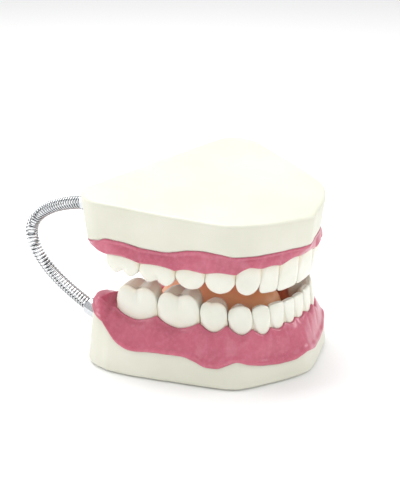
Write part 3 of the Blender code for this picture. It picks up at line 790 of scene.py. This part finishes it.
def cusp_height(shape, back, out):
    """How far the crown's top lies below its tip, at shares back and out of its middle."""
    if not shape["cusps"]:
        near, far = shape["corner"]
        return -np.where(back < 0, near, far) * np.abs(back) ** 5
    total = np.zeros_like(back)
    for cusp_back, cusp_out, height, width in shape["cusps"]:
        away = np.sqrt(((back - cusp_back) / width) ** 2 + ((out - cusp_out) / CUSP_DEPTH) ** 2)
        total = total + np.exp((height - shape["drop"] * away ** 1.6) / CUSP_SOFTNESS)
    return CUSP_SOFTNESS * np.log(total)


def crown_rings(jaw, number, side):
    """The rings of one crown and, for each point, its neck tone with painted notch shade and its painted pink
    top shade.
    """
    _, _, crown, outer, inner = jaw["teeth"][number]
    shape = KINDS[jaw["name"]][number]
    start, end = tooth_places(jaw)[number]
    tip = float(curve_through(jaw["tip"], (start + end) / 2))
    levels = smooth_rows(shape["profile"], TOOTH_ROW_STEPS)
    levels = np.concatenate([levels, [levels[-1] * [1.0, 0.4, 0.4, 0.4]]])
    top_row = np.argmax(levels[:, 0])
    angle = np.linspace(0.0, 2 * math.pi, TOOTH_SIDES, endpoint=False)
    power = 2.0 / shape["square"]
    cosine = np.sign(np.cos(angle)) * np.abs(np.cos(angle)) ** power
    sine = np.sign(np.sin(angle)) * np.abs(np.sin(angle)) ** power
    (x0, x1), (y0, y1) = row_points(jaw, [side * start, side * end])
    chord = math.hypot(x1 - x0, y1 - y0)
    along = np.array([x1 - x0, y1 - y0]) / chord
    outward = side * np.array([along[1], -along[0]])
    middle = np.array([(x0 + x1) / 2, (y0 + y1) / 2])
    bend = (heading(jaw, end) - heading(jaw, start)) / chord
    half_width = (chord - CROWN_GAP) / 2
    rings, warmth, blush = [], [], []
    for row, (height, across, out_share, in_share) in enumerate(levels):
        joined = 1 - ease(height, 0.50, 0.80)
        back = (across + (1 - across) * joined) * cosine
        dome = np.clip(1 - np.abs(back / across) ** shape["square"], 0, 1) ** (1 / shape["square"])
        web = WEB * joined * np.abs(sine)
        swell = np.sign(sine) * (dome ** 4 + web ** 4) ** 0.25
        seam = SEAM * outer * out_share
        out = seam + np.where(sine > 0, out_share * outer - seam, in_share * inner + seam) * swell
        out_of_one = np.where(sine > 0, out_share, in_share) * swell
        near_top = 1.0 if row > top_row else ease(height, 0.3, 1.0)
        z = tip - crown + height * crown + near_top * cusp_height(shape, back, out_of_one)
        dent = shape["groove"] * np.exp(-(back / 0.13) ** 2) * ease(height, 0.3, 0.95)
        out = out - np.where(sine > 0, dent, -0.7 * dent) * np.clip(2 * np.abs(sine), 0, 1)
        sideways = back * half_width * np.maximum(0.3, 1.0 + bend * out)
        sideways = sideways - shape["tilt"] * (1.0 - height)
        flat = middle + sideways[:, None] * along + out[:, None] * outward
        rings.append(np.column_stack([flat, z]))
        # The neck term is the tooth's own tone; the notch term is painted shade between neighbouring crowns.
        low = 1 - ease(height, -0.05, 0.40)
        notch = ease(np.abs(back), 0.74, 1.0) * (1 - ease(height, 0.30, 0.75))
        warmth.append(np.clip(0.16 * low + 0.7 * notch * (0.3 + 0.7 * low), 0, 1))
        # The top of a back tooth gets its pink painted shade.
        blush.append(shape["blush"] * np.full(TOOTH_SIDES, 1.0 if row > top_row else ease(height, 0.86, 1.0)))
    return into_model(jaw, np.array(rings)), np.array(warmth), np.array(blush)


for jaw in JAWS:
    for side_name, side in SIDES.items():
        for number, tooth in enumerate(jaw["teeth"]):
            node = f"{jaw['name']}_{side_name}_{tooth[0]}"
            rings, warmth, blush = crown_rings(jaw, number, side)
            crown_piece = mesh_from_rings(f"{node}_crown", rings, warmth=warmth, blush=blush)
            finish_piece(crown_piece, "tooth_enamel", jaw["body"], node)
    print(jaw["name"], "teeth:", 2 * len(jaw["teeth"]))


# %% [markdown]
# ## Tongue
# The tongue fills the floor of the mouth: broad and high in the middle, narrowing to a rounded
# tip behind the front teeth, with a shallow furrow along its back. A subdivided cage would do,
# but lofted cross sections give the furrow and the tucked-in underside directly.

# %% Make the tongue
def tongue_rings():
    # distance along Y, half width, height of the top
    sections = np.array([(38.5, 6, 27), (38.2, 14, 30.5), (36.5, 19.5, 34), (33, 22.5, 37.5),
                         (26, 24.7, 41.5), (12, 24.7, 44.0), (-3, 22.2, 44.0), (-15, 18.2, 42.8),
                         (-23.5, 13.6, 40.6), (-28, 9.6, 37.6), (-30, 4.0, 33.0)], float)
    sections = smooth_rows(sections, 6)
    bottom = 19.4
    turn = np.linspace(0.0, 2 * math.pi, 72, endpoint=False)
    rings = []
    for y, half_width, top in sections:
        side = bottom + 0.36 * (top - bottom)
        x = half_width * np.sign(np.cos(turn)) * np.abs(np.cos(turn)) ** 0.85
        up = np.sin(turn)
        z = np.where(up > 0, side + (top - side) * np.abs(up) ** 0.9,
                     side + (side - bottom) * np.sign(up) * np.abs(up) ** 0.6)
        x = np.where(up < 0, x * (1 - 0.28 * np.abs(up) ** 1.5), x)
        furrow = 0.9 * np.exp(-(x / 2.6) ** 2) * (up > 0) * ease(top, 30.0, 40.0)
        rings.append(np.column_stack([x, np.full(len(x), y), z - furrow]))
    return np.array(rings)


tongue = mesh_from_rings("tongue_vinyl", tongue_rings())
finish_piece(tongue, "tongue_flesh", "lower_jaw", "tongue")
print("tongue", [round(v / MM, 1) for v in tongue.dimensions])


# %% [markdown]
# ## Palate
# The palate is a thin vault pressed between the upper teeth. Its low cross ridges, the rugae,
# lie behind the front teeth. Rings shrink from the gum to the middle; the ridges are a ripple
# in their height.

# %% Make the palate
PALATE_ROW_STEPS = 5
LAST_ROOF_ROW = 18


def palate_rings():
    loop = round_the_jaw(UPPER, 240)
    inner = -curve_through(INNER_SIDE, loop["s"]) - 1.0
    floor = UPPER["floor"] + 0.3
    rows = [jaw_ring(loop, inner, floor, 0.8), jaw_ring(loop, inner, floor, 0.22),
            jaw_ring(loop, inner, floor + 2.5, 0.15), jaw_ring(loop, inner, floor + 5.4, 0.13),
            jaw_ring(loop, inner, floor + 6.0, 0.17), jaw_ring(loop, inner, floor + 4.9, 0.27),
            jaw_ring(loop, inner, floor + 3.3, 0.42), jaw_ring(loop, inner, floor + 2.4, 0.62),
            jaw_ring(loop, inner, floor + 2.2, 0.85)]
    rows = smooth_rows(rows, PALATE_ROW_STEPS)
    x, y = rows[..., 0], rows[..., 1]
    lower_face = np.arange(len(rows))[:, None] > LAST_ROOF_ROW
    ridge = 0.5 * np.cos(0.95 * (y + 0.10 * np.abs(x))) * ease(-y, 4.0, 12.0) * (1 - ease(-y, 28.0, 33.0))
    seam = 0.5 * np.exp(-(x / 1.6) ** 2)
    rows[..., 2] += lower_face * (ridge * ease(np.abs(x), 1.5, 4.0) + seam)
    return into_model(UPPER, rows)


palate = mesh_from_rings("palate_vinyl", palate_rings())
finish_piece(palate, "palate_flesh", "upper_jaw", "palate")


# %% [markdown]
# ## Springs
# Each spring is one evenly wound wire, bowed backwards from the lower base to the upper one.
# A screw modifier makes only straight coils, so the wire is swept round the bow as a tube. It is made in two
# lengths that meet in the middle.

# %% The bow of a spring, and a tube along any path
SPRING_SIDE = 52.0
SPRING_RADIUS = 3.7
WIRE_RADIUS = 0.5
WIRE_SIDES = 8
COIL_PITCH = 2.0
POINTS_PER_TURN = 16
SPRING_START = np.array([50.5, 23.0])
SPRING_END = np.array([50.5, 89.2])
START_SLOPE = math.radians(15.0)
END_SLOPE = math.radians(10.0)
HANDLE = 74.0


def bow(share):
    """y and z of a spring's middle line, at a share of the way up."""
    share = np.asarray(share, float)[:, None]
    rest = 1 - share
    second = SPRING_START + HANDLE * np.array([math.cos(START_SLOPE), math.sin(START_SLOPE)])
    third = SPRING_END + HANDLE * np.array([math.cos(END_SLOPE), -math.sin(END_SLOPE)])
    return (rest ** 3 * SPRING_START + 3 * rest ** 2 * share * second
            + 3 * rest * share ** 2 * third + share ** 3 * SPRING_END)


def tube_rings(path, radius, sides):
    """Rings of a round wire along a path, turned as little as possible from one to the next."""
    path = np.asarray(path, float)
    forward = np.gradient(path, axis=0)
    forward /= np.linalg.norm(forward, axis=1)[:, None]
    normal = np.cross(forward[0], [1.0, 0.3, 0.2])
    angle = np.linspace(0, 2 * math.pi, sides, endpoint=False)
    rings = []
    for place, ahead in zip(path, forward):
        normal = normal - ahead * (normal @ ahead)
        normal /= np.linalg.norm(normal)
        across = np.cross(ahead, normal)
        rings.append(place + radius * (np.cos(angle)[:, None] * normal + np.sin(angle)[:, None] * across))
    return np.array(rings)


def coil_path(side, first, last):
    """The wire's path from one share of the bow to another, evenly wound along its length."""
    fine = np.linspace(0, 1, 1500)
    line = bow(fine)
    length = np.concatenate([[0], np.cumsum(np.linalg.norm(np.diff(line, axis=0), axis=1))])
    turns = length[-1] / COIL_PITCH
    count = int(turns * (last - first) * POINTS_PER_TURN) + 1
    way = np.linspace(first, last, count) * length[-1]
    share = np.interp(way, length, fine)
    middle = bow(share)
    ahead = bow(share + 0.001) - bow(share - 0.001)
    ahead /= np.linalg.norm(ahead, axis=1)[:, None]
    normal = np.stack([-ahead[:, 1], ahead[:, 0]], 1)
    turn = 2 * math.pi * way / COIL_PITCH
    radius = SPRING_RADIUS - WIRE_RADIUS
    x = side * SPRING_SIDE + radius * np.sin(turn)
    yz = middle + radius * np.cos(turn)[:, None] * normal
    return np.column_stack([x, yz]), np.column_stack([np.full(count, side * SPRING_SIDE), middle])


# %% Wind the springs
for side_name, side in SIDES.items():
    halves = (("lower", 0.0, 0.5, "lower_jaw", "springs"), ("upper", 0.5, 1.0, "springs", "upper_jaw"))
    for half, first, last, below, above in halves:
        path, middle = coil_path(side, first, last)
        rings = tube_rings(path, WIRE_RADIUS, WIRE_SIDES)
        # How far each point of the wire faces the coil's middle, for the painted shade in the steel finish.
        away = np.linalg.norm(rings - middle[:, None], axis=2) - (SPRING_RADIUS - WIRE_RADIUS)
        wire = mesh_from_rings(f"{side_name}_spring_{half}_half", rings, inside=0.5 - 0.5 * away / WIRE_RADIUS)
        finish_piece(wire, "spring_chrome", None, f"{side_name}_spring")
        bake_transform(wire)
    print(side_name, "spring wound")


# %% [markdown]
# ## Ferrules
# A short plated tube in each base grips the end of a spring.

# %% Finish the ferrules
for jaw in JAWS:
    for side_name in SIDES:
        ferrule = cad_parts[f"{jaw['name']}_{side_name}_ferrule"]
        ferrule.data.materials.clear()
        ferrule.data.materials.append(FINISHES["spring_chrome"])
